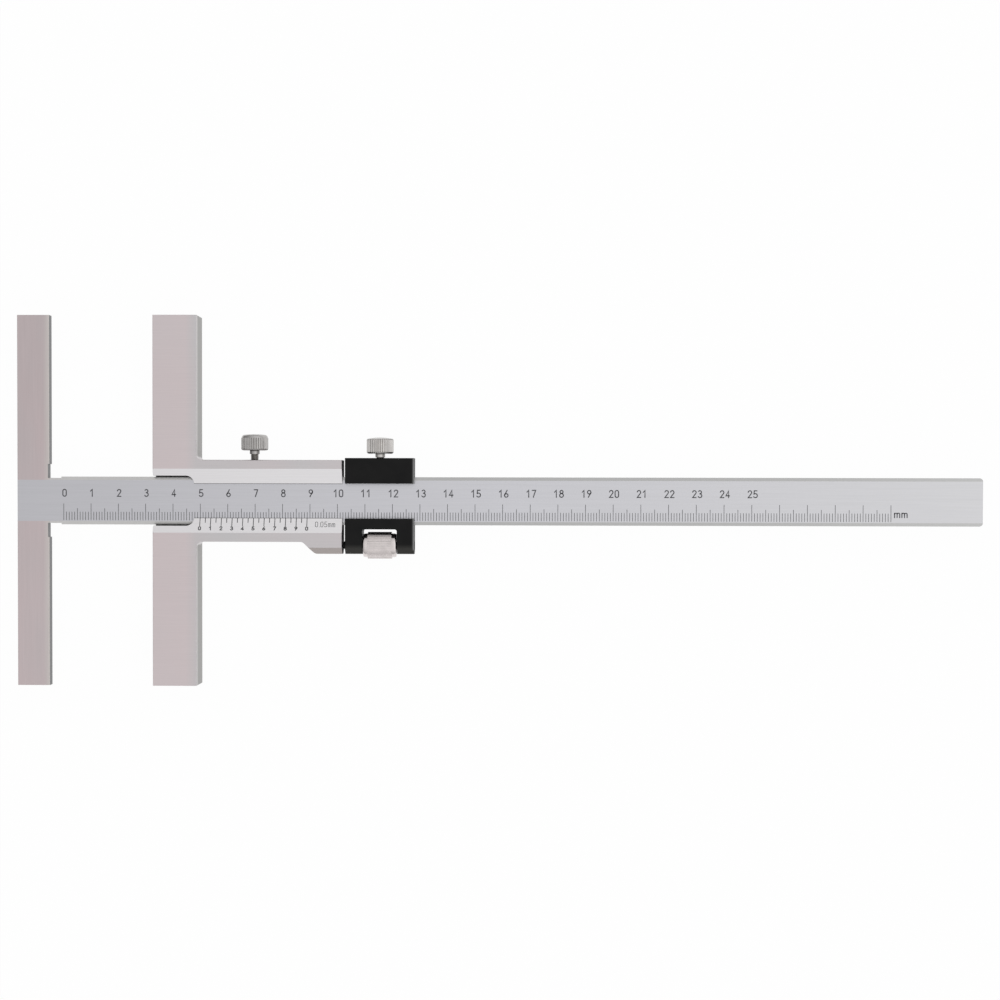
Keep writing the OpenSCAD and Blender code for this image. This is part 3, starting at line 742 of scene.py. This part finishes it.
def make_lock_screw(node, body, head, head_len, colour, rim=None):
    """A knurled screw standing on its tip in Y, in the place of its CAD node, painted dark at its rim."""
    low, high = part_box(node)
    x, z, r = (low.x + high.x) / 2, (low.z + high.z) / 2, (high.x - low.x) / 2
    under = high.y - head_len
    neck = under - NECK_LEN
    knurl = knurl_cut(r, HEAD_TEETH, HEAD_KNURL)
    flank, top = head(r, head_len)
    outline = (thread_outline(low.y, neck) + [(NECK_R, neck, None), (NECK_R, under, None)]
               + [(pr, under + ps, knurl) for pr, ps in flank]
               + [(pr, under + ps, None) for pr, ps in top])

    def place(s, radius, turn):
        return x + radius * math.cos(turn), s, z - radius * math.sin(turn)

    mesh = turned_mesh(node + "_turned", outline, HEAD_TEETH * POINTS_A_TOOTH, place)
    foot_band, below_rim, above_rim = 0.6 * MM, 0.35 * MM, 0.15 * MM
    # Painted shade bands: the neck, just above the underside, and round the rim if given.
    bands = [(neck, under, 0.7), (under, under + foot_band, 1)]
    if rim:
        bands.append((high.y - rim - below_rim, high.y - rim + above_rim, 1))
    finish = lock_screw_steel(node + "_finish", colour, neck, under, bands)
    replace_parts(add_object(node + "_turned", mesh, finish, body), node)


def along_x(node):
    """The box of a part that is turned round X, and the call that places its points."""
    low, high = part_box(node)
    y, z = (low.y + high.y) / 2, (low.z + high.z) / 2

    def place(s, radius, turn):
        return s, y + radius * math.sin(turn), z - radius * math.cos(turn)

    return low, high, place


def make_wheel():
    """The adjusting wheel: a knurled barrel between plain shoulders, bored through."""
    low, high, place = along_x("adjusting_wheel")
    r = (high.z - low.z) / 2
    shoulder_r, bore_r = 4.35 * MM, 1.55 * MM
    shoulder_len, bevel_len, bevel_h = 1.65 * MM, 0.9 * MM, 0.4 * MM
    knurl = knurl_cut(r, WHEEL_TEETH, WHEEL_KNURL)
    corner = arc(shoulder_r - bevel_h, bevel_len, bevel_h, 270, 360, 6, bevel_len)
    half = [(bore_r, 0, None)] + [(pr, ps, None) for pr, ps in corner]
    half += [(shoulder_r, shoulder_len, None), (r, shoulder_len, knurl)]
    outline = ([(pr, low.x + ps, cut) for pr, ps, cut in half]
               + [(pr, high.x - ps, cut) for pr, ps, cut in reversed(half)])
    mesh = turned_mesh("wheel_turned", outline, WHEEL_TEETH * POINTS_A_TOOTH, place, bored=True)
    finish = turned_steel("wheel_finish", (0.720, 0.668, 0.658), 0.2, "x")
    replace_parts(add_object("wheel_turned", mesh, finish, "wheel"), "adjusting_wheel")


def make_spindle():
    """The spindle: plain in its seat, threaded from there to its bevelled tip."""
    low, high, place = along_x("adjusting_spindle")
    tip = THREAD_R / 4
    outline = [(THREAD_R, low.x, None), (THREAD_R, low.x + SEAT_LEN, None)]
    outline += thread_outline(low.x + SEAT_LEN, high.x - tip) + [(THREAD_R - tip, high.x, None)]
    mesh = turned_mesh("spindle_threaded", outline, POINTS_ROUND_SPINDLE, place)
    # Painted shade: the spindle is coloured near black, for the shade it lies in.
    finish = turned_steel("spindle_finish", (0.100, 0.100, 0.102), axis="x")
    piece = add_object("spindle_threaded", mesh, finish, "slider")
    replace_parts(piece, "adjusting_spindle")


def make_floor():
    """A white floor. The camera and the metal see it white, with a faint shadow of the object."""
    mesh = bpy.data.meshes.new("floor")
    corners = [(x * FLOOR_HALF_W, y * FLOOR_HALF_W, 0) for x, y in ((-1, -1), (1, -1), (1, 1), (-1, 1))]
    mesh.from_pydata(corners, [], [(0, 1, 2, 3)])
    floor = bpy.data.objects.new("floor", mesh)
    floor.location.z = cad_bounds[0][2] - FLOOR_DROP
    bpy.context.scene.collection.objects.link(floor)
    g = Graph(bpy.data.materials.new("floor"))
    g.tree.nodes.clear()
    matt = g.node("ShaderNodeBsdfDiffuse")
    matt.inputs["Color"].default_value = (FLOOR_GREY, FLOOR_GREY, FLOOR_GREY, 1)
    path = g.node("ShaderNodeLightPath")
    seen = g.math("MAXIMUM", path.outputs["Is Camera Ray"], path.outputs["Is Glossy Ray"])
    mix = g.node("ShaderNodeMixShader")
    g.put(mix.inputs[0], g.math("MULTIPLY", seen, FLOOR_WHITE))
    g.put(mix.inputs[1], matt.outputs[0])
    g.put(mix.inputs[2], g.node("ShaderNodeEmission").outputs[0])
    g.put(g.node("ShaderNodeOutputMaterial").inputs["Surface"], mix.outputs[0])
    mesh.materials.append(g.owner)


def make_light():
    """A soft studio all round, brighter towards +X and dimmer low down, that the camera sees white."""
    g = Graph(bpy.data.worlds.new("studio"), "Generated")
    sideways = g.math("MULTIPLY_ADD", g.axis("X"), LIGHT_TOWARDS_X, LIGHT_LEVEL)
    across = g.math("MULTIPLY_ADD", g.axis("Y"), LIGHT_TOWARDS_Y, sideways)
    height = g.span(g.axis("Z"), *LIGHT_HEIGHTS, LIGHT_LOW_SHARE, 1.0)
    seen = g.node("ShaderNodeLightPath").outputs["Is Camera Ray"]
    g.put(g.tree.nodes["Background"].inputs["Strength"], g.span(seen, 0, 1, g.times(across, height), 1.0))
    g.tree.nodes["Background"].inputs["Color"].default_value = (1, 1, 1, 1)
    bpy.context.scene.world = g.owner
    bpy.context.scene.view_settings.view_transform = "Standard"


def main():
    make_camera()
    bronze, dark_screw = rolled_bronze(), black_screw()
    finishes = {
        "beam": beam_material(),
        "slider": slider_material(),
        "clamp_block": black_oxide(),
        "slider_gib": bronze,
        "clamp_gib": bronze,
        "gib_screw_left": dark_screw,
        "gib_screw_right": dark_screw,
        "spindle_pin": turned_steel("pin_finish", (0.40, 0.40, 0.41)),
    }
    for name, material in finishes.items():
        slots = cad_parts[name].data.materials
        slots.clear()
        slots.append(material)
    make_scale()
    make_vernier()
    make_lock_screw("slider_lock_screw", "slider_lock", slider_head, SLIDER_HEAD_LEN,
                    (0.465, 0.452, 0.442))
    make_lock_screw("clamp_lock_screw", "clamp_lock", clamp_head, CLAMP_HEAD_LEN,
                    (0.580, 0.560, 0.543), rim=CLAMP_CROWN)
    make_wheel()
    make_spindle()
    make_floor()
    make_light()


main()
